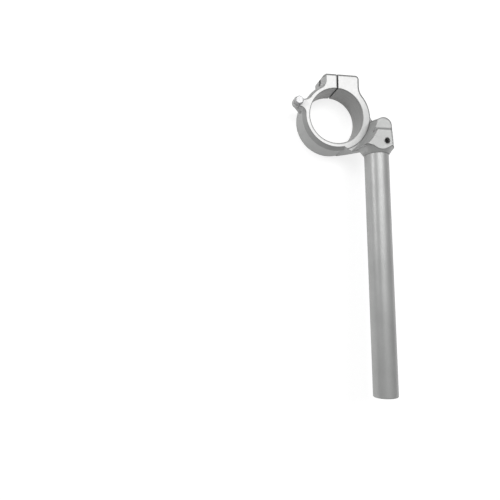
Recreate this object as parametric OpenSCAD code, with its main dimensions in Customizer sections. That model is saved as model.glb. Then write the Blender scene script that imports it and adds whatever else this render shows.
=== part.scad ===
// Clip-on handlebar for a motorbike fork, right-hand bar seen from the pin side.
// Millimetres. The origin is the centre of the fork clamp's bore, at half its height.
// Z runs along the fork tube towards the locating pin, and the handle tube points to -Y.

/* [Fork clamp] */
// Diameter of the fork tube that the clamp grips
fork_d = 53; // [50:0.5:54]
// Height of the clamp along the fork
clamp_h = 26.5; // [24:0.5:32]
// Wall of the clamp ring round the bore
ring_wall = 6.1; // [5:0.1:8]
// Width of the sloped outer edge on the pin side
ring_bevel = 2.4; // [1:0.1:3]
// Depth of that sloped edge along the fork
ring_bevel_h = 5.6; // [3:0.1:8]
// Extra wall on the side that carries the handle
heel_extra = 1.4; // [0.5:0.1:3]
// Chamfer at both mouths of the bore
bore_chamfer = 0.6; // [0.2:0.1:1]

/* [Pinch ears] */
// Width of the split
split_w = 1.5; // [1:0.1:3]
// Sideways place of the split, from the bore's centre
split_x = 1.3; // [0:0.1:3]
// Width of the thin ear, from the split's centre
ear_w = 13.4; // [11:0.1:16]
// Width of the thick block, from the split's centre
block_w = 22.3; // [18:0.1:26]
// Height of the ears above the ring
ear_rise = 8.4; // [7:0.1:12]
// Corner radius of the thick block
block_corner = 4; // [2:0.5:6]
// Corner radius of the thin ear
ear_corner = 2.6; // [2.5:0.1:3]
// Rounding of the ears' edge on the pin side
ear_round = 2.1; // [1:0.1:2.5]
// Rounding of the heel's edge beside the socket
heel_round = 0.9; // [0.5:0.1:2]
// Radius of the hollow between block and ring
block_fillet = 14; // [8:1:18]
// Radius of the hollow between ear and ring
ear_fillet = 6; // [4:0.5:8]

/* [Pinch bolt] */
// Clearance hole in the thin ear
pinch_clear_d = 6.4; // [6.2:0.1:6.8]
// Core diameter of the thread in the block
pinch_core_d = 5; // [4:0.1:5.5]
// Depth of the thread from the split
pinch_depth = 17; // [10:1:20]
// Distance of the bolt's axis below the ears' top
pinch_drop = 4.6; // [4.5:0.1:6]

/* [Locating pin] */
// Diameter of the pin's head
pin_d = 8; // [7:0.1:9]
// Diameter of the pin's shank inside the lug
pin_shank_d = 6; // [4:0.1:6.5]
// Height that the pin's head stands above the clamp's face
pin_stand = 4; // [3:0.1:8]
// Distance of the pin's axis from the bore's axis
pin_reach = 39.5; // [38:0.1:44]
// Direction of the pin from the bore's axis, in degrees
pin_angle = 162.8; // [155:0.1:168]
// Chamfer at the pin's top
pin_chamfer = 0.7; // [0.3:0.1:1]
// Wall of the lug round the pin
lug_wall = 0.8; // [0.7:0.1:2]
// Depth of the lug at the pin
lug_h = 6.5; // [6:0.5:10]
// Depth of the lug's rib where it meets the ring
lug_root_h = 19; // [10:0.5:22]
// Radius of the hollow between lug and ring on the ears' side
lug_fillet = 8; // [6:0.5:9]
// Radius of the hollow between lug and ring on the other side
lug_fillet_low = 5; // [4:0.5:7]

/* [Handle tube] */
// Outer diameter of the handle tube
tube_d = 22.2; // [22:0.1:25.4]
// Wall of the handle tube
tube_wall = 3.1; // [2:0.1:4]
// Free length of the handle tube
tube_len = 218; // [120:1:260]
// Rounding of the tube's outer end
tube_round = 1; // [0.3:0.1:1.5]
// Length of the spigot inside the tube
spigot_len = 30; // [15:1:50]
// Depth by which the tube's end is bored wider for the spigot
seat_depth = 0.3; // [0.1:0.1:0.6]
// Clearance round the spigot
spigot_clear = 0.05; // [0.02:0.01:0.1]
// Sideways distance of the tube's axis from the bore's axis
tube_x = 31.8; // [31:0.1:36]
// Height of the tube's axis at its root, above the clamp's middle
tube_z = 28.7; // [27:0.1:31]
// Distance from the bore's axis to the tube's root
root_y = 41.6; // [41:0.1:46]
// Angle by which the tube rises towards the pin side, in degrees
rise = 2; // [-4:0.5:6]

/* [Socket] */
// Radius of the socket at the tube's root
socket_r = 16; // [15:0.1:16.5]
// Radius of the socket at its inner end
socket_end_r = 14; // [13:0.1:15]
// Height of the flat pad above the tube's axis
pad_h = 13.1; // [12.6:0.1:14]
// Width of the pad outside the tube's axis, at the root
pad_out = 9.9; // [9:0.1:11]
// Width of the pad inside the tube's axis
pad_in = 17; // [16:0.5:18]
// Radius of the round nose
nose_r = 7.6; // [7:0.1:8.5]
// Sideways distance of the nose from the tube's axis
nose_x = 7.4; // [6:0.1:8]
// Distance from the tube's root to the nose's centre
nose_y = 28.4; // [26:0.1:30]
// Height of the nose's flat above the tube's axis
nose_h = 3.2; // [2:0.1:6]
// Radius of the clear room round the fork, at the clamp's face
relief_foot = 33.4; // [33:0.1:34]
// Radius of the steep wall between that room and the pad
relief_r = 33.2; // [33:0.1:34]
// Sideways shift of the steep wall's centre from the bore's centre
relief_x = -2.7; // [-4:0.1:0]
// Shift of the steep wall's centre towards the handle tube
relief_y = 7.4; // [4:0.1:8]
// Height above the clamp's face where the steep wall starts
relief_rise = 7; // [4:0.5:9]
// Length of the turned cone between socket and tube
neck_len = 6; // [5:0.1:6.5]
// Width of the collar left at the tube's root
collar_w = 0.45; // [0.2:0.05:1]
// Distance from the tube's root to the step between pad and nose
step_y = 21.3; // [19:0.1:24]
// Radius of the hollow between the web and the tube
web_fillet = 4.9; // [4:0.1:5.5]

/* [Tapped hole in the pad] */
// Core diameter of the thread
tap_d = 5; // [4:0.1:6]
// Depth of the hole
tap_depth = 12; // [8:1:14]
// Sideways distance of the hole from the tube's axis
tap_x = 5.1; // [2:0.1:6]
// Distance of the hole from the tube's root
tap_y = 10.4; // [9:0.1:13]
// Width of the chamfer at the hole's mouth
tap_chamfer = 0.3; // [0.2:0.1:0.8]

/* [Hidden] */
paint = [0.72, 0.73, 0.72];
steel = [0.80, 0.81, 0.82];
over = 1;
sink = 0.06; // how far the hollow arcs dip into the ring
bevel_h = ring_bevel_h + 0.1; // their sloped edge starts just under the ring's
$fn = 96;

bore_r = fork_d / 2;
ring_r = bore_r + ring_wall;
heel_r = ring_r + heel_extra;
top_z = clamp_h / 2;
ear_x = split_x - ear_w;
block_x = split_x + block_w;
ear_top = ring_r + ear_rise;
pinch_y = ear_top - pinch_drop;
pin_pos = [pin_reach * cos(pin_angle), pin_reach * sin(pin_angle)];
lug_r = pin_d / 2 + lug_wall;
tube_r = tube_d / 2;
bore_in_r = tube_r - tube_wall;
seat_r = bore_in_r + seat_depth;
relief_z = top_z + relief_rise;
neck_r = tube_r + collar_w;

// Points on an arc, each with its outward normal and a sign for hollow arcs
function arc(c, r, a0, a1, n, s = 1) = [for (i = [0 : n])
    let (a = a0 + (a1 - a0) * i / n) [c + r * [cos(a), sin(a)], s * [cos(a), sin(a)]]];
// Adds to each point the width and height of its edge, and 1 for a sloped edge or 0 for a round one
function edge(points, w0, w1, h0, h1, k0, k1) = [for (i = [0 : len(points) - 1])
    let (t = i / (len(points) - 1)) concat(points[i],
        [w0 + (w1 - w0) * t, h0 + (h1 - h0) * t, k0 + (k1 - k0) * t])];

// Leaves out points that lie on the one before them
function single(points) = [for (i = [0 : len(points) - 1])
    if (i == 0 || norm(points[i][0] - points[max(0, i - 1)][0]) > 0.01) points[i]];

// One level of such an outline: t goes from 0 at the wall to 90 at the face
function level(outline, t) = [for (p = outline)
    let (k = p[4], out = (1 - k) * (1 - cos(t)) + k * t / 90,
        down = (1 - k) * (1 - sin(t)) + k * (1 - t / 90),
        at = p[0] - p[2] * out * p[1]) [at.x, at.y, top_z - p[3] * down]];

// Solid with upright walls from z0, and the outline's edges on the pin side
module edged(outline, inner, z0) {
    n = len(outline) + len(inner);
    low = [for (p = outline) [p[0].x, p[0].y, z0]];
    rows = concat([concat(low, [for (q = inner) [q.x, q.y, z0]])],
        [for (t = [0, 30, 60, 90]) concat(level(outline, t), [for (q = inner) [q.x, q.y,
            t == 0 ? (z0 + top_z) / 2 : t == 90 ? top_z : top_z - (90 - t) / 60]])]);
    sides = [for (k = [0 : 3]) for (i = [0 : n - 1]) let (j = (i + 1) % n)
        [(k + 1) * n + i, (k + 1) * n + j, k * n + j, k * n + i]];
    caps = [[for (i = [0 : n - 1]) i], [for (i = [0 : n - 1]) 4 * n + n - 1 - i]];
    polyhedron(points = [for (row = rows) for (p = row) p], faces = concat(sides, caps));
}

block_c = hollow_c(block_x, heel_r, block_fillet, 1);
ear_c = hollow_c(ear_x, ring_r - sink, ear_fillet, -1);
block_a = atan2(block_c.y, block_c.x);
ear_a = atan2(ear_c.y, ear_c.x);
heel_start = -5;

// Centre of a hollow arc that touches the ring and an upright face on one side
function hollow_c(face, r, f, side) = [face + side * f, sqrt((r + f) ^ 2 - (face + side * f) ^ 2)];

// Outline of the ears and of the thick side of the ring, anticlockwise
ear_outline = single(concat(
    edge(arc([0, 0], heel_r, heel_start, block_a, 10), heel_round, ear_round, heel_round, ear_round, 0, 0),
    edge(arc(block_c, block_fillet, block_a + 180, 180, 8, -1),
        ear_round, ear_round, ear_round, ear_round, 0, 0),
    edge(arc([block_x, ear_top] - block_corner * [1, 1], block_corner, 0, 90, 6),
        ear_round, ear_round, ear_round, ear_round, 0, 0),
    edge(arc([ear_x + ear_corner, ear_top - ear_corner], ear_corner, 90, 180, 4),
        ear_round, ring_bevel, ear_round, bevel_h, 0, 1),
    edge(arc(ear_c, ear_fillet, 0, ear_a - 180, 8, -1),
        ring_bevel, ring_bevel, bevel_h, bevel_h, 1, 1),
    edge(arc([0, 0], ring_r - 3.5, ear_a + 5, ear_a + 12, 1), 0, 0, 1, 1, 1, 1)));

module ears() {
    edged(ear_outline, [[-6, 8], [6, -2]], -top_z);
}

module ring() {
    rotate_extrude()
        polygon([[bore_r - 2, -top_z], [ring_r, -top_z], [ring_r, top_z - ring_bevel_h],
            [ring_r - ring_bevel, top_z], [bore_r - 2, top_z]]);
}

// Places its children at the tube's root: Z runs out along the tube, Y stands up
module at_root() {
    translate([tube_x, -root_y, tube_z]) rotate([90 - rise, 0, 0]) children();
}

// Part of the pad seen from above, as a thin slab in the root's frame
module pad_slab(points) {
    translate([0, pad_h + 0.5, 0]) rotate([-90, 0, 0]) mirror([0, 0, 1])
        linear_extrude(height = 1) polygon(points);
}

// The web as forged: it rises from the ring to the left side of the socket
module web_blank() {
    hull() {
        translate([0, 0, -top_z]) linear_extrude(height = over)
            polygon([[8, -ring_r + 0.4], [17, -ring_r + 1.8], [29, -18], [33, -9], [20, -4]]);
        translate([0, 0, top_z - over]) linear_extrude(height = over + 0.3)
            polygon([[7, -ring_r + 3.2], [17.7, -ring_r - 1.3], [26, -24], [20, -10]]);
        at_root() {
            translate([-10.6, -8.2, -step_y]) cylinder(h = step_y - neck_len, r = 2, $fn = 16);
            pad_slab([[-pad_in, 8.5], [-pad_in + 2.2, 7.4], [-pad_out, neck_len], [0, neck_len],
                [0, step_y + 1], [-5, step_y + 1], [-pad_in, 10]]);
        }
    }
}

// The socket as forged: it rests on the ring's thick side and ends in the round nose
module socket_blank() {
    hull() {
        translate([0, 0, -top_z]) linear_extrude(height = over)
            polygon([[26, -20], [heel_r - 1.2, -9], [heel_r - 0.2, -1], [24, -6]]);
        translate([0, 0, top_z - over]) linear_extrude(height = over + 0.4)
            polygon([[22, -30], [heel_r + 4.6, -3.8], [heel_r - 5, -6]]);
        at_root() {
            translate([0, 0, -step_y])
                cylinder(h = step_y - neck_len, r1 = socket_end_r, r2 = socket_r, $fn = 60);
            pad_slab([[-pad_out, neck_len], [pad_out, neck_len], [pad_out, 8], [pad_out - 0.3, 14],
                [pad_out - 1.2, step_y + 1], [-5, step_y + 1]]);
            translate([nose_x, nose_h + 0.5, -nose_y]) rotate([90, 0, 0])
                cylinder(h = 16, r = nose_r, $fn = 60);
        }
    }
    translate([0, 0, -top_z]) linear_extrude(height = clamp_h)
        polygon([[heel_r - 0.6, 1.5], [heel_r, -0.8], [heel_r + 1, -2.4], [heel_r + 2.6, -3.5],
            [heel_r + 4.1, -4], [heel_r + 2, -9], [24, -9], [24, 1.5]]);
    at_root() rotate_extrude($fn = 60)
        polygon([[0, -neck_len - 2], [socket_r - 0.3, -neck_len - 2], [socket_r - 0.3, -neck_len],
            [neck_r, -0.3], [neck_r, 0], [0, 0]]);
}

// What is cut from the handle side: the room round the fork, the flats and the web's hollow
module arm_cuts() {
    translate([0, 0, top_z]) cylinder(h = 60, r1 = relief_foot, r2 = relief_foot + 2);
    translate([relief_x, -relief_y, top_z])
        cylinder(h = relief_rise, r1 = relief_r - 1.8, r2 = relief_r);
    translate([relief_x, -relief_y, relief_z - 0.01]) cylinder(h = 40, r = relief_r);
    rotate_extrude() polygon([[relief_foot - 0.5, top_z + 0.2], [relief_foot, top_z - 0.6],
        [relief_foot + 0.6, top_z + 0.3]]);
    at_root() {
        translate([-30, pad_h, -60]) cube([60, 20, 90]);
        translate([-30, nose_h, -60]) cube([60, 30, 60 - step_y]);
    }
    translate([tube_x - tube_r - 0.3 - web_fillet, -root_y + 1.6, -30]) cylinder(h = 100, r = web_fillet);
}

// Direction and centre of a hollow arc that touches the lug's round end and the ring
function lug_dir(f, side) = let (d = ring_r - sink + f, e = lug_r + f)
    pin_angle + side * acos((pin_reach ^ 2 + d ^ 2 - e ^ 2) / (2 * pin_reach * d));
function lug_c(f, side) = (ring_r - sink + f) * [cos(lug_dir(f, side)), sin(lug_dir(f, side))];
lug_top = lug_c(lug_fillet, -1);
lug_low = lug_c(lug_fillet_low, 1);
lug_top_a = atan2(lug_top.y - pin_pos.y, lug_top.x - pin_pos.x);
lug_low_a = atan2(lug_low.y - pin_pos.y, lug_low.x - pin_pos.x) + 360;
lug_edge = 0.3;
lug_outline = single(concat(
    edge(arc(lug_top, lug_fillet, lug_dir(lug_fillet, -1) - 180, lug_top_a - 180, 8, -1),
        ring_bevel, ring_bevel / 2, bevel_h, ring_bevel, 1, 0.5),
    edge(arc(pin_pos, lug_r, lug_top_a + 8, lug_low_a - 8, 16), lug_edge, lug_edge, lug_edge, lug_edge, 0, 0),
    edge(arc(lug_low, lug_fillet_low, lug_low_a - 180, lug_dir(lug_fillet_low, 1) - 180, 8, -1),
        lug_edge, ring_bevel, lug_edge, bevel_h, 1, 1)));

module lug() {
    edged(lug_outline, [[-24, 3], [-24, 12]], top_z - lug_h);
    rib_a = pin_angle + 2;
    hull() {
        translate([pin_pos.x, pin_pos.y, top_z - lug_h]) cylinder(h = 1, r = lug_r - 0.2, $fn = 48);
        translate([(ring_r - 4) * cos(rib_a), (ring_r - 4) * sin(rib_a), top_z - lug_root_h])
            cylinder(h = lug_root_h - 4, r = 3.6, $fn = 24);
    }
}

// Everything that the forging dies shape, merged into one skin
module forging() {
    resize([0, 0, 0]) union() {
        ring();
        ears();
        lug();
        difference() {
            union() {
                web_blank();
                socket_blank();
            }
            arm_cuts();
        }
    }
}

module clamp_bracket() {
    color(paint)
    difference() {
        union() {
            forging();
            at_root() translate([0, 0, -4]) cylinder(h = 4 + spigot_len, r = seat_r - spigot_clear);
        }
        fork_bore();
        pinch_split();
        pinch_holes();
        translate([pin_pos.x, pin_pos.y, top_z - lug_h - over])
            cylinder(h = lug_h + 2 * over, r = pin_shank_d / 2);
        pad_hole();
    }
}

module fork_bore() {
    translate([0, 0, -top_z - over]) cylinder(h = clamp_h + 60, r = bore_r);
    for (s = [0, 1]) mirror([0, 0, s]) translate([0, 0, top_z - bore_chamfer])
        cylinder(h = 2 * bore_chamfer, r1 = bore_r, r2 = bore_r + 2 * bore_chamfer);
}

module pinch_split() {
    translate([split_x - split_w / 2, bore_r / 2, -top_z - over])
        cube([split_w, ear_top, clamp_h + 2 * over]);
}

module pinch_holes() {
    translate([ear_x - 20, pinch_y, 0]) rotate([0, 90, 0])
        cylinder(h = 20 + ear_w, r = pinch_clear_d / 2);
    translate([split_x, pinch_y, 0]) rotate([0, 90, 0])
        cylinder(h = pinch_depth, r = pinch_core_d / 2);
}

module pad_hole() {
    at_root() translate([tap_x, pad_h, -tap_y]) rotate([90, 0, 0]) {
        translate([0, 0, -over]) cylinder(h = tap_depth + over, r = tap_d / 2);
        translate([0, 0, -tap_chamfer])
            cylinder(h = 2 * tap_chamfer, r1 = tap_d / 2 + 2 * tap_chamfer, r2 = tap_d / 2);
    }
}

module handle_tube() {
    color(paint)
    at_root() rotate_extrude()
        polygon(concat([[seat_r, 0], [tube_r, 0]],
            [for (a = [0 : 15 : 90]) [tube_r - tube_round + tube_round * cos(a),
                tube_len - tube_round + tube_round * sin(a)]],
            [[bore_in_r, tube_len], [bore_in_r, spigot_len + 0.5], [seat_r, spigot_len + 0.5]]));
}

module locating_pin() {
    color(steel)
    translate([pin_pos.x, pin_pos.y, top_z]) {
        translate([0, 0, -lug_h]) cylinder(h = lug_h + pin_stand / 2, r = pin_shank_d / 2);
        cylinder(h = pin_stand - pin_chamfer, r = pin_d / 2);
        translate([0, 0, pin_stand - pin_chamfer])
            cylinder(h = pin_chamfer, r1 = pin_d / 2, r2 = pin_d / 2 - pin_chamfer);
    }
}

clamp_bracket();
handle_tube();
locating_pin();
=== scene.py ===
import bpy
import math
from mathutils import Matrix, Vector


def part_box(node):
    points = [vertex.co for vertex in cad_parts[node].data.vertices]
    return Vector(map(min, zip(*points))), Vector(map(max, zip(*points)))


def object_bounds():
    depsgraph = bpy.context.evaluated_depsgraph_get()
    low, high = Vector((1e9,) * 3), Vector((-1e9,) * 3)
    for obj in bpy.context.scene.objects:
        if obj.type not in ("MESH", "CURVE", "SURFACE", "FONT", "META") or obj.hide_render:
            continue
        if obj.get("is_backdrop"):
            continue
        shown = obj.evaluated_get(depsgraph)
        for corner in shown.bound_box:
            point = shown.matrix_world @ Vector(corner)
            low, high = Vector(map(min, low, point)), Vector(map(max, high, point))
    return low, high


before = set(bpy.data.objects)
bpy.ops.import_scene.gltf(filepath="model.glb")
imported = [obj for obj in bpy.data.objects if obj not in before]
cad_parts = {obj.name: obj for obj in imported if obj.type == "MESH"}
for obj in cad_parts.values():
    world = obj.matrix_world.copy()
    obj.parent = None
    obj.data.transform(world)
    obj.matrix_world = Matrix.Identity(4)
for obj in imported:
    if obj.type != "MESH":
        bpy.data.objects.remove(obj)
start_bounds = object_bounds()

MM = 0.001

# Places on the part, as in its source
FACE_Z = 13.25 * MM                 # the clamp's milled face
BORE_R = 26.5 * MM
RISE = math.radians(2)              # of the tube and the pad
TUBE_ROOT_Y, TUBE_ROOT_Z = -41.6 * MM, 28.7 * MM
TAP_X, TAP_BACK, TAP_UP = 36.9 * MM, 10.4 * MM, 13.1 * MM
TAP_R = 2.7 * MM
TAP_LEAD = 0.35 * MM                # plain mouth above the first thread
TAP_PITCH = 1.0 * MM
TAP_AXIS = (0.0, math.sin(RISE), math.cos(RISE))
TAP_MOUTH = (TAP_X,
             TUBE_ROOT_Y + TAP_BACK * math.cos(RISE) + TAP_UP * math.sin(RISE),
             TUBE_ROOT_Z - TAP_BACK * math.sin(RISE) + TAP_UP * math.cos(RISE))

# Directions on the clamp, seen from above
TO_EARS = (0.45, 0.89, 0.0)
TO_SOCKET = (1.0, -0.45, 0.0)


def grey(value):
    return (value, value, value, 1.0)


# Colours of the forging, with the painted shade and highlight laid on it
PAINT = (0.50, 0.505, 0.50)
SHADE = grey(0.10)
# Painted shade in the creases
CREASE_SHADE = grey(0.12)
# Painted highlight on the thread's crests
CREST_HIGHLIGHT = grey(0.85)
MILLED_BRIGHT = (0.88, 0.88, 0.875, 1.0)
# The milled colour in painted shade, towards the socket
MILLED_SHADED = (0.61, 0.615, 0.61, 1.0)
BORED_DARK = (0.34, 0.34, 0.335, 1.0)
BORED_LIGHT = (0.42, 0.42, 0.415, 1.0)
TURNED_DARK = (0.44, 0.44, 0.45, 1.0)
TURNED_LIGHT = (0.52, 0.52, 0.52, 1.0)

# How much of the shade each darker part takes
EAR_RIM_SHADE = 0.45
SLOPE_SHADE = 0.30
STEP_SHADE = 0.62
OUTER_RIM_SHADE = 0.62

# Upright part of a normal
LEVEL = (0.985, 0.998)              # from nearly level to level
TILTED = (0.30, 0.985)
RING_SLOPE = (0.30, 0.50)

# Radii over which the shader rounds edges, and over which it paints shade on the rims and in the
# creases
SOFT_EDGE = 0.8 * MM
SOFT_PIN_EDGE = 0.4 * MM
RIM_REACH = 2.4 * MM
CREASE_REACH = 4.0 * MM


def new_material(name):
    mat = bpy.data.materials.new(name)
    mat.use_nodes = True
    tree = mat.node_tree
    tree.nodes.clear()
    out = tree.nodes.new("ShaderNodeOutputMaterial")
    shader = tree.nodes.new("ShaderNodeBsdfPrincipled")
    tree.links.new(shader.outputs["BSDF"], out.inputs["Surface"])
    return mat, tree, shader


def set_or_link(tree, value, socket):
    """Puts a plain number or tuple on a socket, or links another socket to it."""
    if isinstance(value, (int, float, tuple)):
        socket.default_value = value
    elif value is not None:
        tree.links.new(value, socket)


def vector_math(tree, operation, a, b=None):
    """One vector operation on sockets or triples; DOT_PRODUCT and LENGTH give a value."""
    node = tree.nodes.new("ShaderNodeVectorMath")
    node.operation = operation
    set_or_link(tree, a, node.inputs[0])
    set_or_link(tree, b, node.inputs[1])
    return node.outputs["Value" if operation in ("DOT_PRODUCT", "LENGTH") else "Vector"]


def math_node(tree, operation, a, b=None):
    node = tree.nodes.new("ShaderNodeMath")
    node.operation = operation
    set_or_link(tree, a, node.inputs[0])
    set_or_link(tree, b, node.inputs[1])
    return node.outputs[0]


def both(tree, *masks):
    """1 where every one of the masks is 1."""
    product = masks[0]
    for mask in masks[1:]:
        product = math_node(tree, "MULTIPLY", product, mask)
    return product


def above(tree, value, limit):
    return math_node(tree, "GREATER_THAN", value, limit)


def below(tree, value, limit):
    return math_node(tree, "LESS_THAN", value, limit)


def between(tree, value, low, high):
    return both(tree, above(tree, value, low), below(tree, value, high))


def map_range(tree, value, low, high, to_low=0.0, to_high=1.0, smooth=True):
    node = tree.nodes.new("ShaderNodeMapRange")
    node.interpolation_type = "SMOOTHSTEP" if smooth else "LINEAR"
    tree.links.new(value, node.inputs["Value"])
    node.inputs["From Min"].default_value = low
    node.inputs["From Max"].default_value = high
    node.inputs["To Min"].default_value = to_low
    node.inputs["To Max"].default_value = to_high
    return node.outputs["Result"]


def mix_colour(tree, factor, a, b):
    node = tree.nodes.new("ShaderNodeMix")
    node.data_type = "RGBA"
    tree.links.new(factor, node.inputs["Factor"])
    set_or_link(tree, a, node.inputs["A"])
    set_or_link(tree, b, node.inputs["B"])
    return node.outputs["Result"]


def darken(tree, colour, mask, share):
    """The colour with a share of shade where the mask is 1."""
    return mix_colour(tree, math_node(tree, "MULTIPLY", mask, share), colour, SHADE)


def noise(tree, coords, scale, detail):
    node = tree.nodes.new("ShaderNodeTexNoise")
    node.inputs["Scale"].default_value = scale
    node.inputs["Detail"].default_value = detail
    node.inputs["Roughness"].default_value = 0.55
    tree.links.new(coords, node.inputs["Vector"])
    return node.outputs["Fac"]


def object_coords(tree):
    return tree.nodes.new("ShaderNodeTexCoord").outputs["Object"]


def split(tree, vector):
    node = tree.nodes.new("ShaderNodeSeparateXYZ")
    tree.links.new(vector, node.inputs["Vector"])
    return node.outputs


def rounded_normal(tree, radius, samples):
    """The normal on edges that the shader rounds by a radius."""
    node = tree.nodes.new("ShaderNodeBevel")
    node.samples = samples
    node.inputs["Radius"].default_value = radius
    return node.outputs["Normal"]


def bump(tree, height, distance, strength, shader, soft):
    """Fine relief, on edges that the shader rounds by the radius soft."""
    node = tree.nodes.new("ShaderNodeBump")
    node.inputs["Strength"].default_value = strength
    node.inputs["Distance"].default_value = distance
    tree.links.new(height, node.inputs["Height"])
    tree.links.new(rounded_normal(tree, soft, 8), node.inputs["Normal"])
    tree.links.new(node.outputs["Normal"], shader.inputs["Normal"])


def thread_in(tree, coords):
    """Where the pad's tapped hole is, and where its thread's crests get a painted highlight."""
    away = vector_math(tree, "SUBTRACT", coords, TAP_MOUTH)
    depth = vector_math(tree, "DOT_PRODUCT", away, tuple(-c for c in TAP_AXIS))
    around = vector_math(tree, "LENGTH", vector_math(tree, "CROSS_PRODUCT", away, TAP_AXIS))
    inside = both(tree, below(tree, around, TAP_R), above(tree, depth, TAP_LEAD))
    turns = math_node(tree, "MULTIPLY", depth, 2 * math.pi / TAP_PITCH)
    return inside, map_range(tree, math_node(tree, "SINE", turns), -0.2, 0.8)


def clamp_tones(tree, coords, colour):
    """The forging's colour with its milled and bored parts and its painted shade and highlight,
    and where the face is.
    """
    normal = tree.nodes.new("ShaderNodeNewGeometry").outputs["True Normal"]
    lift = split(tree, normal)["Z"]
    place = split(tree, coords)
    flat = map_range(tree, lift, *LEVEL)
    from_face = math_node(tree, "ABSOLUTE", math_node(tree, "SUBTRACT", place["Z"], FACE_Z))
    face = both(tree, flat, map_range(tree, from_face, 0.3 * MM, 0.1 * MM))

    # Painted shade: the milled face darkens from the ears towards the socket
    across = vector_math(tree, "DOT_PRODUCT", coords, TO_SOCKET)
    milled = mix_colour(tree, map_range(tree, across, 6.0 * MM, 36.0 * MM),
                        MILLED_BRIGHT, MILLED_SHADED)
    colour = mix_colour(tree, face, colour, milled)

    # Painted shade: the forging's rounded edge round the ears, beside the milled face, is
    # darkened
    outward = vector_math(tree, "DOT_PRODUCT", normal, TO_EARS)
    ear_rim_shade = both(tree, between(tree, lift, *TILTED),
                   between(tree, place["Z"], FACE_Z - 2.3 * MM, FACE_Z + 0.1 * MM),
                   above(tree, place["Y"], 0.0), above(tree, outward, 0.05))
    colour = darken(tree, colour, ear_rim_shade, EAR_RIM_SHADE)

    # Painted shade: the ring's sloped edge is made darker than the upright wall under it
    level_part = vector_math(tree, "MULTIPLY", coords, (1.0, 1.0, 0.0))
    radial = vector_math(tree, "LENGTH", level_part)
    slope = both(tree, between(tree, lift, *RING_SLOPE), below(tree, radial, 33.0 * MM),
                 above(tree, place["Z"], FACE_Z - 5.8 * MM))
    colour = darken(tree, colour, slope, SLOPE_SHADE)

    # The nose lies in the shade at the foot of the pad's step
    foot = both(tree, flat, map_range(tree, place["Y"], -14.6 * MM, -16.2 * MM),
                between(tree, place["Z"], 29.0 * MM, 32.0 * MM))
    colour = darken(tree, colour, foot, STEP_SHADE)

    # Bored surface of the clamp, with the lines that the boring bar leaves
    turning = noise(tree, vector_math(tree, "MULTIPLY", coords, (0.02, 0.02, 1.0)), 2600.0, 1.0)
    bored = mix_colour(tree, map_range(tree, turning, 0.35, 0.65), BORED_DARK, BORED_LIGHT)
    colour = mix_colour(tree, below(tree, radial, BORE_R + 0.15 * MM), colour, bored)

    # Painted shade in the creases, and along the rim on the ears' side
    crease = tree.nodes.new("ShaderNodeAmbientOcclusion")
    crease.samples = 6
    crease.inputs["Distance"].default_value = CREASE_REACH
    open_share = map_range(tree, crease.outputs["AO"], 0.25, 0.95, 0.55, 1.0)
    colour = mix_colour(tree, open_share, CREASE_SHADE, colour)
    # Painted shade: rounded edges that lean towards the ears are darkened
    lean = vector_math(tree, "SUBTRACT", rounded_normal(tree, RIM_REACH, 16), normal)
    lean = vector_math(tree, "DOT_PRODUCT", lean, TO_EARS)
    rim = map_range(tree, lean, 0.02, 0.22, 0.0, OUTER_RIM_SHADE)
    colour = mix_colour(tree, rim, colour, SHADE)

    # Painted light in the tapped hole: a painted highlight on the thread's crests, painted shade
    # between them
    tapped, crest = thread_in(tree, coords)
    colour = mix_colour(tree, tapped, colour, mix_colour(tree, crest, SHADE, CREST_HIGHLIGHT))
    return colour, face


def silver_paint(name, metal, rough, milled_and_shaded=False):
    """Satin silver: fine metal grain, a soft cast skin, and where asked brighter milled faces
    with painted shade and highlight.
    """
    mat, tree, shader = new_material(name)
    coords = object_coords(tree)
    grain = noise(tree, coords, 2200.0, 2.0)
    cloud = noise(tree, coords, 45.0, 3.0)
    skin = noise(tree, coords, 700.0, 3.0)
    light = tuple(c * 1.06 for c in PAINT) + (1.0,)
    dark = tuple(c * 0.93 for c in PAINT) + (1.0,)
    mixed = math_node(tree, "ADD", math_node(tree, "MULTIPLY", grain, 0.55),
                      math_node(tree, "MULTIPLY", cloud, 0.45))
    colour = mix_colour(tree, map_range(tree, mixed, 0.35, 0.65), dark, light)
    if milled_and_shaded:
        colour, face = clamp_tones(tree, coords, colour)
        metallic = map_range(tree, face, 0.0, 1.0, metal, metal * 0.5, smooth=False)
        tree.links.new(metallic, shader.inputs["Metallic"])
    else:
        shader.inputs["Metallic"].default_value = metal
    tree.links.new(colour, shader.inputs["Base Color"])
    tree.links.new(map_range(tree, skin, 0.3, 0.7, rough - 0.04, rough + 0.05),
                   shader.inputs["Roughness"])
    height = math_node(tree, "ADD", skin, math_node(tree, "MULTIPLY", grain, 0.25))
    bump(tree, height, 0.02 * MM, 0.12, shader, SOFT_EDGE)
    return mat


def bright_steel(name):
    """Turned steel: a fine bright grain and a clean face."""
    mat, tree, shader = new_material(name)
    turned = noise(tree, object_coords(tree), 3200.0, 2.0)
    colour = mix_colour(tree, map_range(tree, turned, 0.35, 0.65), TURNED_DARK, TURNED_LIGHT)
    tree.links.new(colour, shader.inputs["Base Color"])
    shader.inputs["Metallic"].default_value = 0.35
    tree.links.new(map_range(tree, turned, 0.3, 0.7, 0.24, 0.34), shader.inputs["Roughness"])
    bump(tree, turned, 0.01 * MM, 0.3, shader, SOFT_PIN_EDGE)
    return mat


def keep_flat(piece):
    """Marks the border of every level face as sharp, so that the milled faces shade flat."""
    mesh = piece.data
    level = {}
    for face in mesh.polygons:
        is_level = abs(face.normal.z) > 0.9999
        for key in face.edge_keys:
            level.setdefault(key, []).append(is_level)
    for edge in mesh.edges:
        sides = level.get(edge.key, [])
        if len(sides) == 2 and sides[0] != sides[1]:
            edge.use_edge_sharp = True


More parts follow.
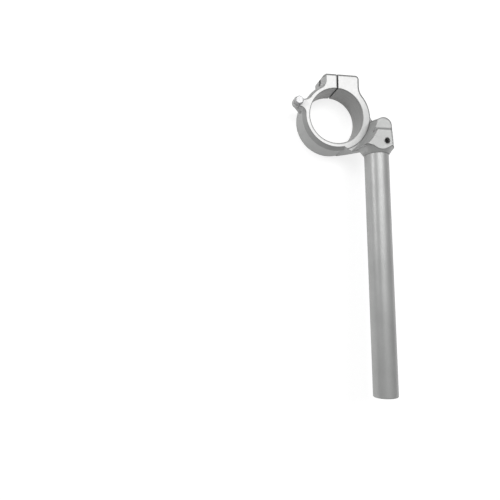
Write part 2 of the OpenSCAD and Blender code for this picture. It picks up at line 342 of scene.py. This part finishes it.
MATERIALS = {
    "clamp_bracket": silver_paint("silver_forging", 0.35, 0.45, milled_and_shaded=True),
    "handle_tube": silver_paint("silver_tube", 0.42, 0.44),
    "locating_pin": bright_steel("bright_pin"),
}
for node, mat in MATERIALS.items():
    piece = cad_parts[node]
    piece.data.materials.clear()
    piece.data.materials.append(mat)
    for face in piece.data.polygons:
        face.use_smooth = True
    piece.data.set_sharp_from_angle(angle=math.radians(20))
    keep_flat(piece)

# Floor, which is also the white background, just under the clamp's lower face
floor_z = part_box("clamp_bracket")[0][2] - 0.5 * MM
bpy.ops.mesh.primitive_plane_add(size=12.0, location=(0.0, -0.1, floor_z))
floor = bpy.context.object
floor.name = "floor"
floor_mat, tree, shader = new_material("white_floor")
shader.inputs["Base Color"].default_value = grey(0.42)
shader.inputs["Roughness"].default_value = 0.9
shader.inputs["Specular IOR Level"].default_value = 0.1
# White where the camera, a reflection or glass sees it; the plain paint still takes the shadow
path = tree.nodes.new("ShaderNodeLightPath").outputs
seen = math_node(tree, "MAXIMUM", path["Is Glossy Ray"], path["Is Transmission Ray"])
seen = math_node(tree, "MAXIMUM", path["Is Camera Ray"], seen)
shader.inputs["Emission Color"].default_value = grey(1.0)
tree.links.new(math_node(tree, "MULTIPLY", seen, 0.78), shader.inputs["Emission Strength"])
floor.data.materials.append(floor_mat)
floor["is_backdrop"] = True

world = bpy.data.worlds.new("studio")
bpy.context.scene.world = world
world.use_nodes = True
back = world.node_tree.nodes["Background"]
back.inputs["Color"].default_value = grey(1.0)
back.inputs["Strength"].default_value = 0.26


def softbox(name, place, aim, size, power):
    data = bpy.data.lights.new(name, "AREA")
    data.shape = "RECTANGLE"
    data.size, data.size_y = size
    data.energy = power
    obj = bpy.data.objects.new(name, data)
    bpy.context.scene.collection.objects.link(obj)
    obj.location = place
    obj.rotation_euler = (Vector(aim) - Vector(place)).to_track_quat("-Z", "Y").to_euler()


# The first stands where the flat faces and the tube's right stripe mirror it, the strip
# where the left stripe does
softbox("mirror", (0.50, 0.45, 1.2), (0.0, -0.08, 0.0), (0.50, 0.45), 4.0)
softbox("overhead", (-0.05, 0.28, 1.3), (0.0, -0.12, 0.0), (0.60, 0.50), 4.5)
softbox("strip", (-0.78, 0.22, 0.47), (0.03, -0.10, 0.03), (0.35, 0.07), 2.1)

# The photo's camera, fitted to the clamp's bore, the tube and the pin
CAMERA_RIGHT = (0.983744, -0.006691, 0.179453)
CAMERA_UP = (-0.004488, 0.998077, 0.061821)
CAMERA_BACK = (-0.179522, -0.061622, 0.981822)
CAMERA_PLACE = (-0.16118, -0.15492, 0.42960)
data = bpy.data.cameras.new("camera")
data.sensor_width = 36.0
data.lens = 33.81
data.clip_start = 0.01
camera = bpy.data.objects.new("camera", data)
bpy.context.scene.collection.objects.link(camera)
columns = (CAMERA_RIGHT, CAMERA_UP, CAMERA_BACK, CAMERA_PLACE)
camera.matrix_world = Matrix([*zip(*columns), (0.0, 0.0, 0.0, 1.0)])
bpy.context.scene.camera = camera
bpy.context.scene.view_settings.view_transform = "Standard"

end_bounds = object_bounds()


def plain(value):
    if isinstance(value, dict):
        return {k: plain(v) for k, v in value.items()}
    if hasattr(value, "__len__") and not isinstance(value, str):
        return [plain(v) for v in value]
    return value if isinstance(value, str) else float(value)


{"start": plain(start_bounds), "end": plain(end_bounds)}
